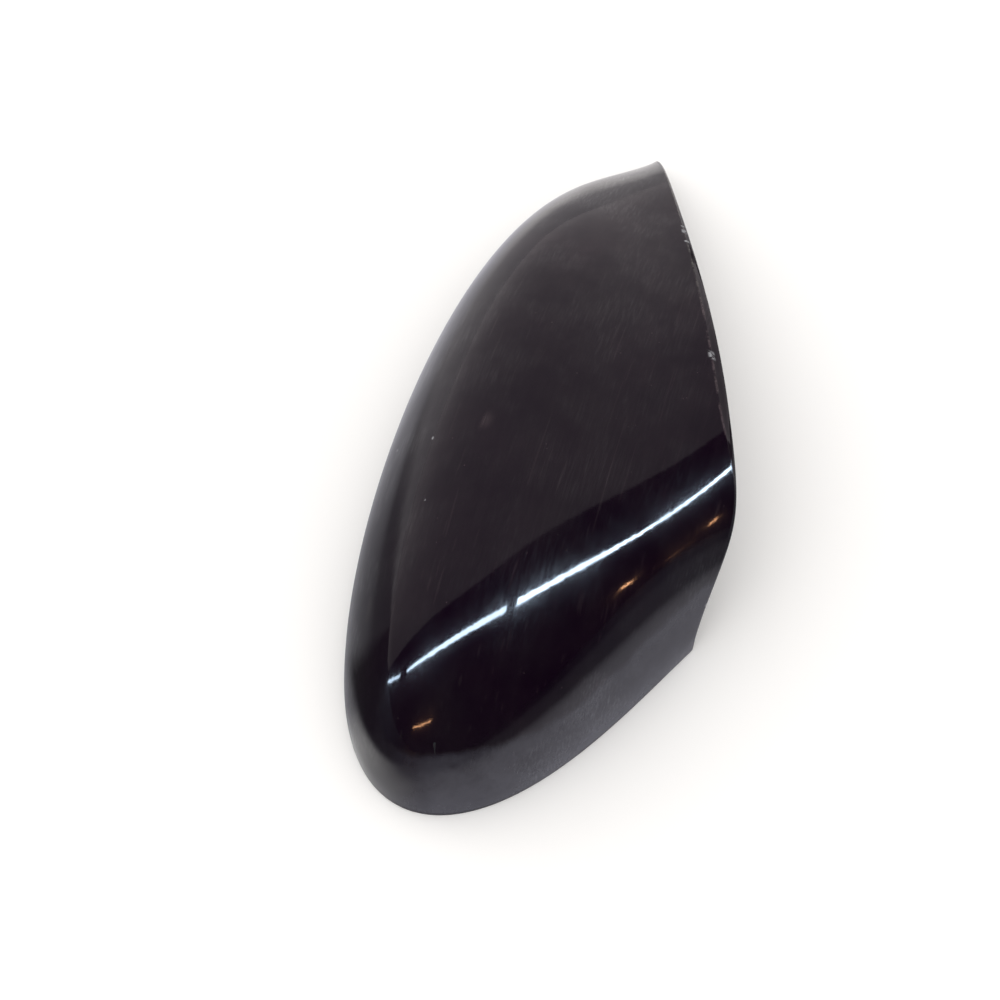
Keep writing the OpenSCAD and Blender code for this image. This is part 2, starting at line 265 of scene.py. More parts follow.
# %% One ring of the outer skin
LIP_STEPS = [1, 0.5, 0.32, 0.18, 0.08, 0]
EDGE_ROOM = 1.0  # mm between the edge and the last lip ring where there is no lip


def lip_of(ray):
    return max(EDGE_ROOM, ray[2] * LIP_WIDTH) / UNIT_V


def on_ray(ray, r):
    return r * math.cos(ray[0]), r * math.sin(ray[0])


def lip_point(ray, step):
    """Place on the lip: step 1 is the moulding's edge and step 0 the crease where the roll starts."""
    u, v = on_ray(ray, ray[1] - lip_of(ray) * (1 - step))
    point = place(u, v, max(0, height(form(u, v))))
    if step == 1 and not ray[3]:
        point.z = 0
    return point - outward(u, v) * LIP_DROP * ray[2] * step


def skin_point(ray, t):
    """Place on the dome inside the lip: t 0 is the crease and t 1 the crown."""
    u, v = on_ray(ray, (ray[1] - lip_of(ray)) * math.cos(math.pi / 2 * t))
    return place(u, v, height(form(u, v))), outward(u, v)


# %% The inner end of the moulding's edge
def arch_facing(u, n):
    """The way that the arched edge faces, in the plane of the skin."""
    away = Vector((arch_bend(u) / UNIT_U, -1 / UNIT_V, ARCH_LEAN / HEIGHT))
    return (away - away.dot(n) * n).normalized()


def inner_edge(ray):
    """Inner end of the moulding's edge, a wall's thickness from the outer one."""
    u, v = on_ray(ray, ray[1])
    n = outward(u, v)
    if ray[3]:
        way = (n + ray[2] * arch_facing(u, n)).normalized()
    else:
        way = Vector((n.x, n.y, 0)).normalized()
    point = lip_point(ray, 1) - WALL * way
    point.z = max(0, point.z)
    return point


# %% [markdown]
# ## The shell
# One ring of vertices is the moulding's outer edge. Extruding its edges again and again, and setting
# each new ring down on the skin, makes the outside, and the last ring closes at the crown. The same
# first ring is extruded inwards for the flat edge and the inside, so the shell is closed by itself. A
# Solidify modifier would give a wall too, but its edge would stand square to the skin, and this rim
# lies flat on the table.


# %% Shell helpers
def next_ring(bm, ring, points):
    """Extrudes a ring of vertices to a new one at the points given."""
    edges = [bm.edges.get((a, b)) for a, b in zip(ring, ring[1:] + ring[:1])]
    made = bmesh.ops.extrude_edge_only(bm, edges=edges)["geom"]
    fresh = {v for v in made if isinstance(v, bmesh.types.BMVert)}
    beyond = []
    for old in ring:
        mate = next(e.other_vert(old) for e in old.link_edges if e.other_vert(old) in fresh)
        beyond.append(mate)
    for vert, point in zip(beyond, points):
        vert.co = point
    return beyond


def close_at(bm, ring, point):
    """Draws a ring together to one point."""
    last = next_ring(bm, ring, [point] * len(ring))
    bmesh.ops.pointmerge(bm, verts=last, merge_co=point)


# %% How far each vertex is from the crease
NO_CREASE = 0.1
shell = bmesh.new()
from_crease = shell.verts.layers.float.new("from_crease")


def mark_crease(ring, step, t):
    """Notes on each vertex how far it is from the crease in metres, below zero on the lip."""
    for vert, ray in zip(ring, rays):
        lip = lip_of(ray) * UNIT_V
        inside = (ray[1] * UNIT_V - lip) * (1 - math.cos(math.pi / 2 * t))
        vert[from_crease] = (inside - step * lip) * MM if ray[3] else NO_CREASE


# %% The outside, ring by ring
OUT_ROWS, IN_ROWS = 78, 30
first = bmesh.ops.create_circle(shell, segments=len(rays), radius=1)["verts"]
for vert, ray in zip(first, rays):
    vert.co = lip_point(ray, 1)
mark_crease(first, 1, 0)
ring = first
for step in LIP_STEPS[1:]:
    ring = next_ring(shell, ring, [lip_point(ray, step) for ray in rays])
    mark_crease(ring, step, 0)
for row in range(1, OUT_ROWS):
    ring = next_ring(shell, ring, [skin_point(ray, row / OUT_ROWS)[0] for ray in rays])
    mark_crease(ring, 0, row / OUT_ROWS)
close_at(shell, ring, place(0, 0, HEIGHT))
outside_faces = len(shell.faces)
print("outside", outside_faces, "faces")

# %% The inside, from the same first ring
inner_first = next_ring(shell, first, [inner_edge(ray) for ray in rays])
ring = inner_first
for row in range(1, IN_ROWS):
    points = []
    for ray in rays:
        point, n = skin_point(ray, row / IN_ROWS)
        point -= WALL * n
        point.z = max(0, point.z)
        points.append(point)
    ring = next_ring(shell, ring, points)
close_at(shell, ring, place(0, 0, HEIGHT - WALL))
shell.faces.ensure_lookup_table()
for number, face in enumerate(shell.faces):
    face.material_index = 0 if number < outside_faces else 1
print("shell", len(shell.faces), "faces")


# %% Bevel the moulding's edges
def bevel(bm, edges, offset, segments):
    bmesh.ops.bevel(bm, geom=edges, offset=offset, offset_type="OFFSET", segments=segments, profile=0.5,
                    affect="EDGES", material=-1, clamp_overlap=True)


EDGE_BEVEL = 0.3
edges = [shell.edges.get(pair) for ring in (first, inner_first) for pair in zip(ring, ring[1:] + ring[:1])]
bevel(shell, edges, EDGE_BEVEL, 3)
bmesh.ops.recalc_face_normals(shell, faces=shell.faces)
for vert in shell.verts:
    vert.co.z = max(0, vert.co.z)
bmesh.ops.scale(shell, vec=(MM, MM, MM), verts=shell.verts)
open_edges = [e for e in shell.edges if len(e.link_faces) != 2]
print("open edges", len(open_edges), "volume", shell.calc_volume(signed=True) / MM ** 3, "mm3")

# %% [markdown]
# ## Turning a bmesh into a piece
# A finished piece's object stays at the origin, unturned and unscaled. Faces shade smoothly except
# across sharp corners.

# %% Piece helper
SHARP = 35


def piece(name, bm, *materials):
    mesh = bpy.data.meshes.new(name)
    bm.to_mesh(mesh)
    bm.free()
    mesh.shade_smooth()
    mesh.set_sharp_from_angle(angle=math.radians(SHARP))
    made = bpy.data.objects.new(name, mesh)
    bpy.context.scene.collection.objects.link(made)
    for material in materials:
        mesh.materials.append(material)
    print(name, len(mesh.vertices), "vertices", len(mesh.polygons), "faces")
    return made


# %% [markdown]
# ## Shader sums
# Materials here are sums of noises and masks. A small class wraps a socket, so that a sum of sockets
# is written as a sum, and one method makes any other node.


# %% Sockets that can be added and multiplied
class Wire:
    """One output socket in a material's node tree."""

    def __init__(self, tree, socket):
        self.tree = tree
        self.socket = socket

    def node(self, kind, inputs, output=0, **settings):
        """Any other node: inputs by name or number, from wires or plain values."""
        made = self.tree.nodes.new("ShaderNode" + kind)
        for name, value in settings.items():
            setattr(made, name, value)
        for name, value in inputs.items():
            if isinstance(value, Wire):
                self.tree.links.new(value.socket, made.inputs[name])
            else:
                made.inputs[name].default_value = value
        return Wire(self.tree, made.outputs[output])

    def maths(self, operation, *values):
        return self.node("Math", dict(enumerate(values)), operation=operation)

    def __add__(self, other):
        return self.maths("ADD", self, other)

    def __radd__(self, other):
        return self.maths("ADD", other, self)

    def __sub__(self, other):
        return self.maths("SUBTRACT", self, other)

    def __rsub__(self, other):
        return self.maths("SUBTRACT", other, self)

    def __mul__(self, other):
        return self.maths("MULTIPLY", self, other)

    def __rmul__(self, other):
        return self.maths("MULTIPLY", other, self)

    def __truediv__(self, other):
        return self.maths("DIVIDE", self, other)

    def __rtruediv__(self, other):
        return self.maths("DIVIDE", other, self)

    def __pow__(self, other):
        return self.maths("POWER", self, other)


# %% Masks and noises
def between(wire, low, high):
    """0 below low and 1 above high, with a smooth rise. It falls where low is above high."""
    inputs = {"Value": wire, "From Min": low, "From Max": high}
    return wire.node("MapRange", inputs, interpolation_type="SMOOTHSTEP")


def noise(where, scale, detail=2.0, roughness=0.5):
    inputs = {"Vector": where, "Scale": scale, "Detail": detail, "Roughness": roughness}
    return where.node("TexNoise", inputs)


def stretched(where, turn, scales):
    """Coordinates turned about Z and stretched, for marks that run one way."""
    inputs = {"Vector": where, "Rotation": (0, 0, turn), "Scale": scales}
    return where.node("Mapping", inputs)


def fibres(where, directions, long, deep, detail, low, high):
    """Fine lines in several directions: each is a turn and a count of lines to the metre."""
    return sum(between(noise(stretched(where, turn, (long, count, deep)), 1, *detail), low, high)
               for turn, count in directions)


def near_point(where, point, radius):
    """1 at a place and 0 beyond a radius from it, both in millimetres."""
    inputs = {0: where, 1: tuple(c * MM for c in point)}
    apart = where.node("VectorMath", inputs, output="Value", operation="DISTANCE")
    return between(apart, radius * MM, 0)


# %% Colours, and the parts of a new material
def blend_colour(share, dark, light):
    """The colour dark where share is 0 and light where it is 1."""
    tree = share.tree
    mix = tree.nodes.new("ShaderNodeMix")
    mix.data_type = "RGBA"
    tree.links.new(share.socket, mix.inputs["Factor"])
    for socket, value in zip([s for s in mix.inputs if s.type == "RGBA"], (dark, light)):
        if isinstance(value, Wire):
            tree.links.new(value.socket, socket)
        else:
            socket.default_value = (*value, 1)
    return Wire(tree, next(s for s in mix.outputs if s.type == "RGBA"))


def new_material(name):
    """A material, its shader, and a wire with object coordinates."""
    material = bpy.data.materials.new(name)
    material.use_nodes = True
    tree = material.node_tree
    shader = next(n for n in tree.nodes if n.type == "BSDF_PRINCIPLED")
    coordinates = tree.nodes.new("ShaderNodeTexCoord")
    return material, shader, Wire(tree, coordinates.outputs["Object"])


def axes(wire, names):
    return [wire.node("SeparateXYZ", {0: wire}, output=name) for name in names]


def plug(shader, name, wire):
    wire.tree.links.new(wire.socket, shader.inputs[name])


# %% [markdown]
# ## Gloss black, used
# The outside is polished black plastic. Used covers carry a thin haze of wiped dust, swirls and hair
# scratches, which show as a soft glow round the lamp's reflection. The foot of the long wall is lighter,
# partly from dust and partly from a painted reflection of the table, and a dark line left at the rim is
# painted contact shadow. A few pale chips sit on the crease. One smooth black shader would look new, and
# its reflections would end sharply. So the sharp gloss is the shader's own reflection, and a weak, rough
# coat on top of it stands for the swirls. Each mask runs from 0 to 1, and the last two cells say how
# much each one adds.

# %% Gloss black: haze and a wiped film
PLASTIC_IOR = 1.5
gloss_black, shader, where = new_material("gloss_black")
shader.inputs["IOR"].default_value = PLASTIC_IOR
shader.inputs["Coat Roughness"].default_value = 0.21
along, across, up = axes(where, "XYZ")
clouds = noise(where, 22, 4, 0.55)
patches = noise(where, 70, 5, 0.6)
streaks = noise(stretched(where, -0.28, (14, 420, 60)), 1, 3, 0.6)
wiped = noise(stretched(where, -0.3, (40, 700, 60)), 1, 4, 0.7)
haze = between(clouds, 0.38, 0.72) * 0.6 + between(streaks, 0.45, 0.8) * 0.4
toward_tip = between(along, -0.03, 0.11)
film = between(patches, 0.3, 0.8) * (0.6 + 0.4 * between(wiped, 0.3, 0.7)) * (0.3 + toward_tip)

# %% Dust and a painted reflection of the table along the foot of the long wall, with painted contact shadow at the rim
# Lighter towards the foot of the long wall: partly dust, partly a painted reflection of the table.
ragged_height = up + (noise(where, 40, 4, 0.6) - 0.5) * 0.012
foot_dust_and_reflection = between(ragged_height, 0.0215, 0.0185) * between(across, 0.03, 0.0)
foot_dust_and_reflection = foot_dust_and_reflection * (0.45 + 0.55 * between(patches, 0.35, 0.6))
# Lightest close to the rim, again dust and painted reflection of the table.
rim_dust_and_reflection = between(up, 0.014, 0.0) * between(across, 0.045, 0.0)
# Just above the rim the lightening fades out, which leaves a dark line there as painted contact shadow.
above_painted_contact_shadow = between(up, 0.0003, 0.0014)
foot_dust_and_reflection = (foot_dust_and_reflection + rim_dust_and_reflection) * above_painted_contact_shadow

# %% Hair scratches, swirls and dust specks
HAIR_LINES = ((0.4, 900), (1.3, 1100), (2.2, 800), (2.9, 1000))
SWIRL_LINES = ((0.9, 2000), (1.6, 1700), (2.5, 2300))
hairs = fibres(where, HAIR_LINES, 18, 200, (1, 0.4), 0.72, 0.76) * between(up, 0.014, 0.024)
swirls = fibres(where, SWIRL_LINES, 110, 500, (2, 0.6), 0.5, 0.7)
swirls = (0.4 + 0.8 * swirls) * between(noise(where, 45, 3, 0.6), 0.36, 0.66)
cells = {"Vector": where, "Scale": 420.0, "Randomness": 1.0}
specks = between(where.node("TexVoronoi", cells, output="Distance"), 0.12, 0.05)
specks = specks * between(noise(where, 130, 1), 0.56, 0.66) * between(up, 0.018, 0.03)

# %% Nicks and scuffs, each with its place and radius in millimetres
NICKS = [
    ((-36.6, 32.9, 47.6), 0.8), ((-33.0, 45.3, 32.1), 0.9),
    ((-57.7, 28.7, 47.9), 0.5), ((-48.3, -51.1, 14.3), 0.9),
]
SCUFFS = [
    ((-26.5, 26.4, 52.5), 4.0), ((-29.4, 23.0, 54.0), 4.0),
    ((-32.3, 19.7, 55.4), 4.5), ((-84.0, 38.7, 26.8), 6.0),
]
ragged = noise(where, 900, 3, 0.7)
nicks = sum(near_point(where, *nick) * between(ragged, 0.42, 0.6) for nick in NICKS)
scuffs = sum(near_point(where, *scuff) for scuff in SCUFFS) * between(streaks, 0.45, 0.6)

# %% The rubbed crease and its chips, each from one place along it to another
CHIPS = ((0.0625, 0.0637), (0.067, 0.07), (0.0708, 0.072), (0.0112, 0.0148))


def within(wire, low, high):
    """1 round the middle of a stretch and 0 beyond its ends."""
    off = wire - (low + high) / 2
    half = (high - low) / 2
    return between(off * off, half * half, half * half * 0.2)


crease = where.node("Attribute", {}, output="Fac", attribute_name="from_crease")
rub = between(crease, -0.0006, -0.0001) * between(crease, 0.0005, 0.0001)
rub = rub * between(noise(where, 260, 3, 0.7), 0.36, 0.66) * between(along, -0.03, 0.0)
chips = sum(within(along, *chip) for chip in CHIPS)
chips = chips * between(crease, -0.0012, -0.0004) * between(crease, 0.0011, 0.0003)
chips = chips * between(ragged, 0.4, 0.56)

# %% Colour of the gloss
BLACK, BARE_NICK, BARE_CHIP = (0.0036, 0.0006, 0.0044), (0.3, 0.3, 0.31), (0.24, 0.24, 0.25)
# The last tone on the next line is the foot's blue grey: partly dust, partly painted reflection of the
# table.
PINK_DUST, BROWN_DUST, BLUE_FOOT_DUST_AND_REFLECTION = (0.7, 0.47, 0.51), (0.6, 0.56, 0.47), (0.54, 0.55, 0.64)
# This sum holds the foot's painted reflection of the table as well as dust and wear.
dust_wear_and_reflection = (haze * 0.004 + film * 0.018 + specks * 0.04 + hairs * 0.008
        + scuffs * 0.03 + rub * 0.08 + foot_dust_and_reflection * 0.05)
dust_and_reflection_tone = blend_colour(between(noise(where, 16, 2, 0.5), 0.4, 0.6), PINK_DUST, BROWN_DUST)
dust_and_reflection_tone = blend_colour(between(foot_dust_and_reflection, 0, 0.4), dust_and_reflection_tone, BLUE_FOOT_DUST_AND_REFLECTION)
colour = blend_colour(dust_wear_and_reflection, BLACK, dust_and_reflection_tone)
colour = blend_colour(nicks, colour, BARE_NICK)
plug(shader, "Base Color", blend_colour(chips, colour, BARE_CHIP))

# %% Roughness, coat and relief of the gloss
POLISH, PLAIN_COAT = 0.045, 0.03
rough = (POLISH + haze * 0.04 + film * 0.06 + scuffs * 0.2 + nicks * 0.3
         + chips * 0.4 + rub * 0.3 + foot_dust_and_reflection * 0.12)
plug(shader, "Roughness", rough)
plug(shader, "Coat Weight", PLAIN_COAT + haze * 0.04 + swirls * 0.34)
peel = noise(where, 380, 2, 0.5) * 0.35 + patches * 0.2 + hairs * 0.06
relief = {"Height": peel, "Strength": 0.03, "Distance": MM}
plug(shader, "Normal", where.node("Bump", relief, output="Normal"))
print("gloss_black has", len(gloss_black.node_tree.nodes), "nodes")

# %% [markdown]
# ## The moulded inside
# Nobody polishes the inside of a cover. It has the fine satin of the tool that moulded it, with long,
# faint flow marks. Two noises are enough for that, one fine and even, the other stretched.

# %% Satin black
SATIN, SATIN_BLACK, SATIN_PALE = 0.36, (0.008, 0.0075, 0.009), (0.3, 0.3, 0.31)
satin_black, shader, where = new_material("satin_black")
shader.inputs["IOR"].default_value = PLASTIC_IOR
grain = noise(where, 1600, 2, 0.6)
flow = noise(stretched(where, 0.1, (9, 30, 20)), 1, 3, 0.5)
plug(shader, "Base Color", blend_colour(flow * 0.03 + grain * 0.01, SATIN_BLACK, SATIN_PALE))
plug(shader, "Roughness", SATIN + flow * 0.1 + grain * 0.06)
relief = {"Height": grain * 0.5 + flow * 0.3, "Strength": 0.08, "Distance": MM}
plug(shader, "Normal", where.node("Bump", relief, output="Normal"))
print("satin_black has", len(satin_black.node_tree.nodes), "nodes")

# %% The shell as a piece
cover = piece("cover_shell", shell, gloss_black, satin_black)
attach(cover, "root")
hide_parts("mirror_cover")

# %% [markdown]
# ## Clips, pegs and ribs
# The photograph shows only the outside. Such a cover is held by snap clips inside its rim, is located by
# two pegs, and is stiffened by ribs and by a tongue beside the arch. They are all part of the moulding,
# so each runs up into the middle of the wall. A boolean could join them to the shell, but it would
# break up the shell's even rows, and the joints are inside the wall anyway.

# %% A plate from its outline
MID_WALL, PLATE_BEVEL, RIB = 0.5, 0.2, 1.6


def plate(bm, foot, way, thick, outline):
    """An upright plate: outline is (out along way, height) points, thick is across it."""
    side = Vector((-way.y, way.x, 0))
    corners = [bm.verts.new(Vector((foot.x, foot.y, 0)) + way * out + Vector((0, 0, z)) - side * thick / 2)
               for out, z in outline]
    face = bm.faces.new(corners)
    made = bmesh.ops.extrude_face_region(bm, geom=[face])["geom"]
    lifted = [v for v in made if isinstance(v, bmesh.types.BMVert)]
    bmesh.ops.translate(bm, vec=side * thick, verts=lifted)
    faces = {f for v in corners + lifted for f in v.link_faces}
    edges = {e for f in faces for e in f.edges}
    bevel(bm, list(edges), PLATE_BEVEL, 2)


# %% Places under the wall
def mid_wall_z(foot, way, out):
    """Height of the wall's middle at a distance out from a foot."""
    return wall_z(foot.x + way.x * out, foot.y + way.y * out, MID_WALL)


def wall_reach(foot, way, z, furthest):
    """How far along a way the middle of the wall comes down to a height."""
    return halved(0, furthest, lambda out: mid_wall_z(foot, way, out) < z)


def rim_point(angle):
    """Place on the rim in a direction from the crown, and the way it faces there."""
    reach = walk_out(angle)[0]
    u, v = reach * math.cos(angle), reach * math.sin(angle)
    n = outward(u, v)
    return place(u, v, 0), Vector((n.x, n.y, 0)).normalized()


# %% [markdown]
# A clip is a springy plate with a hook at its low end, which snaps over the edge of the mirror's
# housing. It is drawn from the side and then given its width. Two thin webs tie it to the wall.

# %% Snap clips, each a hooked plate
CLIP_ANGLES = (35, 75, 130, 185, 225)
CLIP_WIDE, CLIP_THICK, CLIP_IN, CLIP_TIP = 12, 2.2, 9, 9
HOOK_OUT, HOOK_TALL, HOOK_TOP, HOOK_LOW, LEAD_IN = 1.8, 4, 0.8, 0.6, 0.4


def clip_plate(bm, foot, way):
    half = CLIP_THICK / 2
    plate(bm, foot, way, CLIP_WIDE, [
        (half, CLIP_TIP),
        (half, mid_wall_z(foot, way, half)),
        (-half, mid_wall_z(foot, way, -half)),
        (-half, CLIP_TIP + HOOK_TALL),
        (-half - HOOK_OUT, CLIP_TIP + HOOK_TALL * HOOK_TOP),
        (-half - HOOK_OUT, CLIP_TIP + HOOK_TALL * HOOK_LOW),
        (-half + LEAD_IN, CLIP_TIP),
    ])


# %% Webs at the ends of a clip
WEB_LOW = CLIP_TIP + 2 * HOOK_TALL
WEB_STEPS = 5


def clip_web(bm, foot, way):
    """A thin plate that runs from the clip out to the wall."""
    out = wall_reach(foot, way, WEB_LOW, CLIP_IN)
    steps = [out * i / WEB_STEPS for i in range(WEB_STEPS - 1, -1, -1)]
    under_wall = [(d, mid_wall_z(foot, way, d)) for d in steps]
    plate(bm, foot, way, RIB, [(0, WEB_LOW + HOOK_TALL), (out, WEB_LOW)] + under_wall)


clips = bmesh.new()
for degrees in CLIP_ANGLES:
    edge, way = rim_point(math.radians(degrees))
    foot = edge - way * CLIP_IN
    clip_plate(clips, foot, way)
    side = Vector((-way.y, way.x, 0))
    for end in (-1, 1):
        clip_web(clips, foot + side * end * (CLIP_WIDE - RIB) / 2, way)
print("clips", len(clips.faces), "faces")

# %% [markdown]
# A peg goes into a hole of the housing, so that the cover can't slide. It is a thin post under a thicker
# one, and four fins keep both upright. A spin could turn the two posts, but the cone operator with equal
# ends makes a post at once.

# %% Locating pegs, each under a boss with four fins
PEG_SPOTS = ((-0.22, 0.05), (0.04, -0.04))
PEG_WIDE, PEG_LONG, PEG_TIP, PEG_SOFT, PEG_SUNK, POST_SIDES = 5, 10, 12, 0.6, 0.5, 48
BOSS_WIDE, BOSS_SOFT, BOSS_LOW = 9, 0.3, PEG_TIP + PEG_LONG
FIN_ANGLES, FIN_START, FIN_OUT, FIN_LOW, FIN_TALL = (45, 135, 225, 315), 2, 5, 2, 8


def post(bm, centre, low, high, wide, soft):
    """An upright round post with a softened low end."""
    made = bmesh.ops.create_cone(bm, cap_ends=True, segments=POST_SIDES, radius1=wide / 2,
                                 radius2=wide / 2, depth=high - low)
    bmesh.ops.translate(bm, vec=(centre.x, centre.y, (low + high) / 2), verts=made["verts"])
    ends = [e for e in {e for v in made["verts"] for e in v.link_edges}
            if all(abs(v.co.z - low) < 1e-6 for v in e.verts)]
    bevel(bm, ends, soft, 3)


def fin(bm, centre, way, top):
    out = BOSS_WIDE / 2 + FIN_OUT
    plate(bm, centre, way, RIB, [
        (FIN_START, BOSS_LOW + FIN_LOW), (BOSS_WIDE / 2, BOSS_LOW + FIN_LOW), (out, top - FIN_TALL),
        (out, mid_wall_z(centre, way, out)), (FIN_START, mid_wall_z(centre, way, FIN_START)),
    ])


# %% The two pegs
pegs = bmesh.new()
for spot_x, spot_y in PEG_SPOTS:
    centre = Vector((spot_x * LENGTH, spot_y * WIDTH, 0))
    top = wall_z(centre.x, centre.y, MID_WALL)
    post(pegs, centre, BOSS_LOW, top, BOSS_WIDE, BOSS_SOFT)
    post(pegs, centre, PEG_TIP, BOSS_LOW + PEG_SUNK, PEG_WIDE, PEG_SOFT)
    for degrees in FIN_ANGLES:
        way = Vector((math.cos(math.radians(degrees)), math.sin(math.radians(degrees)), 0))
        fin(pegs, centre, way, top)
print("pegs", len(pegs.faces), "faces")

# %% [markdown]
# A rib follows the inside of the shell. It starts as one small cross section, which is extruded from
# place to place along the rib's line. The section's edges are extruded with it, so that no face stays
# inside the rib.

# %% Sections of a rib
RIB_DEEP = 5


def swept(bm, sections):
    """Extrudes a four-cornered section from place to place."""
    face = bm.faces.new([bm.verts.new(point) for point in sections[0]])
    for section in sections[1:]:
        made = bmesh.ops.extrude_face_region(bm, geom=[face, *face.edges])["geom"]
        face = next(f for f in made if isinstance(f, bmesh.types.BMFace))
        for vert, point in zip(face.verts, section):
            vert.co = point


def rib_section(centre, side):
    """The four corners of a rib's section: up in the wall and down inside the cover."""
    near, far = (centre + side * sign * RIB / 2 for sign in (-1, 1))
    near_top, far_top = (Vector((p.x, p.y, wall_z(p.x, p.y, MID_WALL))) for p in (near, far))
    near_low, far_low = (Vector((p.x, p.y, wall_z(p.x, p.y, 1) - RIB_DEEP)) for p in (near, far))
    return [near_top, near_low, far_low, far_top]


# %% Cross ribs
RIB_SPOTS, RIB_ENDS, RIB_STEPS = (-0.34, -0.09, 0.16, 0.28), 22, 40
TONGUE_IN, RIB_START = 7, 1.2
ribs = bmesh.new()
for spot_x in RIB_SPOTS:
    x = spot_x * LENGTH
    last = wall_reach(Vector((x, 0, 0)), Vector((0, 1, 0)), RIB_ENDS, WIDTH / 2)
    wall = -wall_reach(Vector((x, 0, 0)), Vector((0, -1, 0)), RIB_ENDS, WIDTH / 2)
    arch = arch_line(uv_at(x, 0)[0], RIB_ENDS) * UNIT_V - CENTRE_Y
    start = max(wall, arch + TONGUE_IN * RIB_START)
    ys = [start + (last - start) * i / RIB_STEPS for i in range(RIB_STEPS + 1)]
    swept(ribs, [rib_section(Vector((x, y, 0)), Vector((1, 0, 0))) for y in ys])
    print("rib at", round(x, 1), "runs from", round(start, 1), "to", round(last, 1), "mm")

# %% The tongue beside the arch, wherever its foot stays clear of the rim
TONGUE_FOOT, TONGUE_FIRST, TONGUE_SPAN, TONGUE_STEPS = 2, 0.06, 0.88, 60
sections = []
for step in range(TONGUE_STEPS + 1):
    share = TONGUE_FIRST + TONGUE_SPAN * step / TONGUE_STEPS
    angle = heel_angle + (tip_angle - heel_angle) * (1 - math.cos(math.pi * share)) / 2
    reach = walk_out(angle)[0]
    u, v = reach * math.cos(angle), reach * math.sin(angle)
    way = Vector((-arch_bend(u) / UNIT_U, 1 / UNIT_V, 0)).normalized()
    section = rib_section(place(u, v, 0) + way * (TONGUE_IN + RIB / 2), way)
    if min(point.z for point in section) > TONGUE_FOOT:
        sections.append(section)
swept(ribs, sections)
print("ribs", len(ribs.faces), "faces")

# %% Pieces of the hidden side
for name, bm in (("cover_clips", clips), ("cover_pegs", pegs), ("cover_ribs", ribs)):
    bmesh.ops.recalc_face_normals(bm, faces=bm.faces)
    bmesh.ops.scale(bm, vec=(MM, MM, MM), verts=bm.verts)
    part = piece(name, bm, satin_black)
    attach(part, "root")
    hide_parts("mirror_cover")

# %% [markdown]
# ## Table
# The cover lies on a plain white table. The photograph is exposed so brightly that the table is clipped
# to white, while its reflection in the gloss stays grey. So the table has one colour straight on and a
# dimmer one in reflections. That one is brightest close to the cover and round its near end, and dark
# further off. The table is only a stage, and the cover's own materials don't do this.

# %% What the table shows straight on
white_table, shader, where = new_material("white_table")
shader.inputs["Specular IOR Level"].default_value = 0.1
mottle = noise(where, 3, 3, 0.5)
white = blend_colour(mottle, (0.9, 0.88, 0.855), (0.91, 0.89, 0.865))
plug(shader, "Roughness", 0.5 + mottle * 0.1)

# %% What the table shows in reflections
OVAL_X, OVAL_Y = 0.19, 0.105  # half sizes of an oval round the cover
along, across = axes(where, "XY")
oval = (along * along) / (OVAL_X * OVAL_X) + (across * across) / (OVAL_Y * OVAL_Y)
left_side = between(across - along * 0.25, 0.02, 0.09)
near = between(oval, 1.7, 0.7) * (1 - (0.8 - 0.3 * between(along, -0.06, 0.02)) * left_side)
far = blend_colour(between(along, -0.02, 0.1), (0.13, 0.13, 0.135), (0.45, 0.43, 0.44))
by_cover = blend_colour(between(along, 0.08, 0.14), (0.62, 0.61, 0.66), (0.82, 0.79, 0.78))
dimmed = blend_colour(near, far, by_cover)

# %% The dark left, the dark distance and the bright spot at the near end
DEEP_SHADE, BRIGHT_SPOT = (0.03, 0.03, 0.03), (0.97, 0.96, 0.95)
shade = between(across, 0.044, 0.058) * between(along, -0.08, -0.095)
shade = shade + between(oval, 3, 14) * between(across, 0.0, -0.1)
dimmed = blend_colour(shade, dimmed, DEEP_SHADE)
at_end = between(along, -0.1, -0.118) * between(along, -0.165, -0.125)
at_end = at_end * between(across, 0.054, 0.042) * between(across, 0.01, 0.025)
dimmed = blend_colour(at_end, dimmed, BRIGHT_SPOT)
seen = where.node("LightPath", {}, output="Is Camera Ray")
plug(shader, "Base Color", blend_colour(seen, dimmed, white))

# %% The table's top
TABLE = 20
table = bmesh.new()
bmesh.ops.create_grid(table, x_segments=1, y_segments=1, size=TABLE)
floor = piece("table_top", table, white_table)

# %% [markdown]
# ## Light
# Gloss black shows nothing but what it reflects, so the lights are placed by the reflections in the
# photograph: a wide pale ceiling behind the cover, a dark room on the camera's side, one long broken row
# of lamps between them, and three small warm lamps. A second set of soft lights and a pale surrounding
# light the table, and the gloss doesn't show those.

# %% Places in the studio, as seen by the camera
look = Vector((aim.x - camera.location.x, aim.y - camera.location.y, 0)).normalized()
STUDIO_TURN = math.radians(3.5)


def studio(right, away, up):
    """A place by how far it is to the camera's right, away from the camera, and up."""
    turned_right = right * math.cos(STUDIO_TURN) - away * math.sin(STUDIO_TURN)
    turned_away = right * math.sin(STUDIO_TURN) + away * math.cos(STUDIO_TURN)
    side = Vector((look.y, -look.x, 0))
    return side * turned_right + look * turned_away + Vector((0, 0, up))


# %% A flat light
ENERGY = 4  # watts for one square metre at a radiance of 1


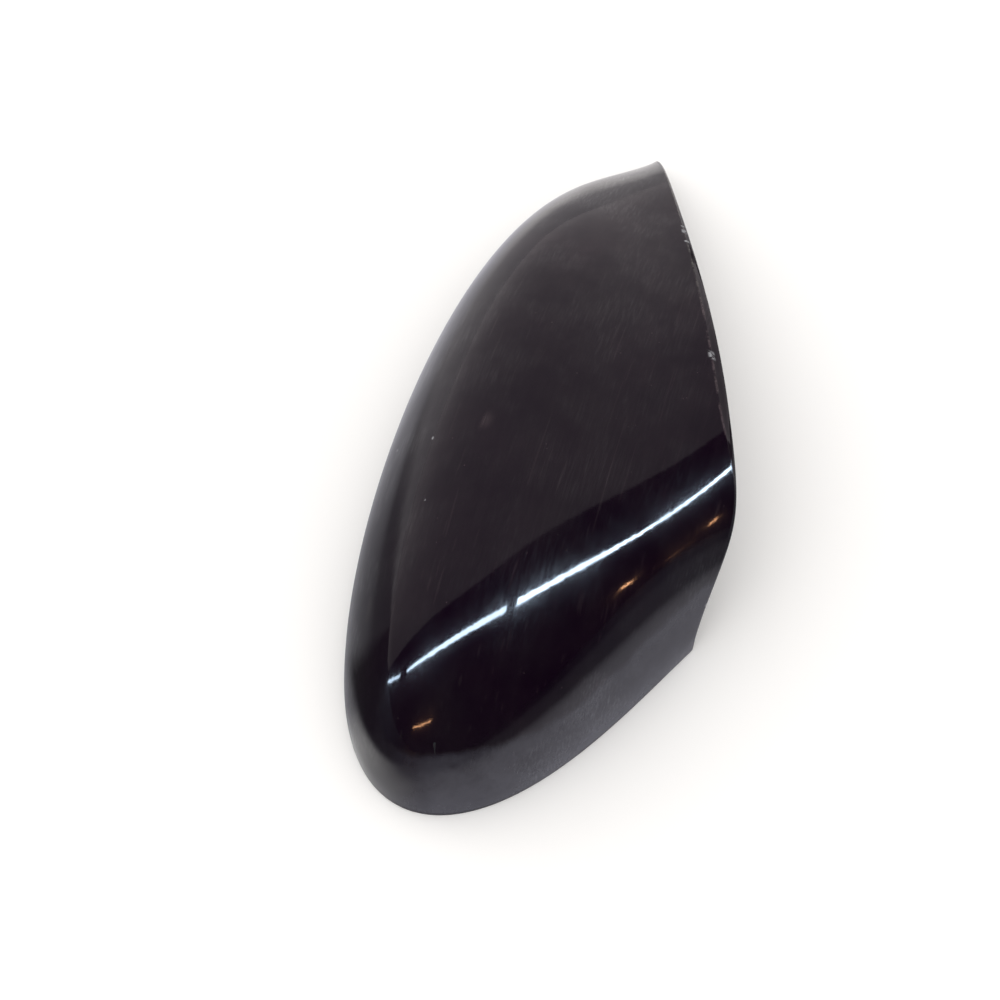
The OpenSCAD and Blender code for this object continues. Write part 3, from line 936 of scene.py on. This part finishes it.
def panel(name, start, end, deep, toward, radiance, colour=(1, 1, 1)):
    """A flat light from start to end and deep the other way. It faces toward a place."""
    data = bpy.data.lights.new(name, "AREA")
    data.shape = "RECTANGLE"
    data.size, data.size_y = (end - start).length, deep
    data.energy = radiance * ENERGY * data.size * deep
    data.color = colour
    made = bpy.data.objects.new(name, data)
    bpy.context.scene.collection.objects.link(made)
    centre, across = (start + end) / 2, (end - start).normalized()
    back = centre - toward
    back = (back - across * back.dot(across)).normalized()
    turn = Matrix((across, back.cross(across), back)).transposed().to_4x4()
    made.matrix_world = Matrix.Translation(centre) @ turn
    made.visible_camera = False
    return made


# %% [markdown]
# The ceiling could be a plain rectangle, but the dark band that the photograph shows in the gloss has a
# curved upper edge. So the ceiling's own shader dims it past a bent line. It also slopes down to the
# table's height far off, because a level one would leave a dark strip along the horizon.

# %% The ceiling, which slopes down away from the camera
CEILING, CEILING_FAR, CEILING_NEAR, CEILING_WIDE = 2.2, 14, 0.4, 160
fall = CEILING / CEILING_FAR
deep = CEILING_FAR + CEILING_NEAR
centre = studio(0, CEILING_FAR - deep / 2, fall * deep / 2)
half_wide = studio(CEILING_WIDE / 2, 0, 0)
ceiling = panel("pale_ceiling", centre - half_wide, centre + half_wide, deep * math.hypot(1, fall),
                centre - studio(0, fall, 1), 1.0, (1, 0.94, 0.95))
ceiling.visible_diffuse = False

# %% It is paler far off than overhead, and its near edge is bent
EDGE_AT, EDGE_PLACE, EDGE_SOFT = -0.6, -0.282, 0.03
EDGE_SLOPE, EDGE_BEND, EDGE_ROUND = 0.035, 0.155, 0.36
ceiling.data.use_nodes = True
tree = ceiling.data.node_tree
spot = Wire(tree, tree.nodes.new("ShaderNodeNewGeometry").outputs["Parametric"])
sideways, depth = axes(spot, "XY")
to_right = (sideways - 0.5) * CEILING_WIDE
bent = ((to_right - EDGE_AT) * (to_right - EDGE_AT) + EDGE_ROUND) ** 0.5
past_edge = depth * deep - CEILING_NEAR - (to_right * EDGE_SLOPE + bent * EDGE_BEND + EDGE_PLACE)
strength = (0.2 + 0.4 * depth) * (0.7 + 0.3 * between(sideways, 0.38, 0.48))
strength = strength * between(past_edge, -EDGE_SOFT, EDGE_SOFT)
emission = next(n for n in tree.nodes if n.type == "EMISSION")
tree.links.new(strength.socket, emission.inputs["Strength"])
print("ceiling", round(ceiling.data.size, 2), "by", round(ceiling.data.size_y, 2), "m")

# %% The broken row of lamps
COOL, LAMP_WIDE, END_LAMP_WIDE = (0.62, 0.8, 1.0), 0.12, 0.05
LAMPS = [
    ("lamps_right", studio(0.7, -1.0, CEILING), studio(5.8, -0.93, CEILING), LAMP_WIDE, 42),
    ("lamps_middle", studio(-6.3, -0.86, CEILING), studio(0.42, -1.01, CEILING), LAMP_WIDE, 28),
    ("lamps_left", studio(-3, 0.08, 0.014), studio(-3, -0.275, 0.67), END_LAMP_WIDE, 18),
]
for name, start, end, wide, radiance in LAMPS:
    lamp = panel(name, start, end, wide, Vector(), radiance, COOL)
    lamp.visible_diffuse = False
    print(name, round(lamp.data.size, 2), "m long")

# %% Three small warm lamps, placed close by and then moved out along the same lines of sight
WARM_COLOUR, WARM_RADIANCE, WARM_WIDE, FURTHER = (1, 0.5, 0.25), 24, 0.04, 4
WARM = [
    ("warm_right", studio(0.932, -0.33, 0.11), studio(0.92, -0.35, 0.15)),
    ("warm_middle", studio(0.97, -0.26, 0.012), studio(0.965, -0.272, 0.03)),
    ("warm_left", studio(-0.53, -0.77, 0.36), studio(-0.75, -0.6, 0.19)),
]
for name, start, end in WARM:
    lamp = panel(name, start * FURTHER, end * FURTHER, WARM_WIDE, Vector(), WARM_RADIANCE, WARM_COLOUR)
    lamp.visible_diffuse = False

# %% [markdown]
# The lights so far reach only the gloss, because on the table their shadows would be hard. Two soft
# lights and pale surroundings light the table. The gloss doesn't show them, so its reflections stay as
# they are.

# %% Soft light on the table, which the gloss doesn't show
key = panel("soft_key", studio(-1.6, 3.9, 1.6), studio(-1.6, 0.9, 1.6), 3.0, Vector(), 0.6)
fill = panel("soft_fill", studio(-1.3, 3.45, 2.5), studio(-1.3, -3.05, 2.5), 6.5,
             studio(-1.3, 0.2, 0), 0.42)
for soft in (key, fill):
    soft.visible_glossy = False

# %% What surrounds them: pale for the table and dark in the gloss
SURROUND, DARK_ROOM = (0.86, 0.86, 0.87), (0.03, 0.022, 0.032)
world = bpy.data.worlds.new("dark_room")
world.use_nodes = True
tree = world.node_tree
in_gloss = Wire(tree, tree.nodes.new("ShaderNodeLightPath").outputs["Is Glossy Ray"])
backdrop = blend_colour(in_gloss, SURROUND, DARK_ROOM)
tree.links.new(backdrop.socket, tree.nodes["Background"].inputs["Color"])
bpy.context.scene.world = world
bpy.context.scene.view_settings.view_transform = "Standard"
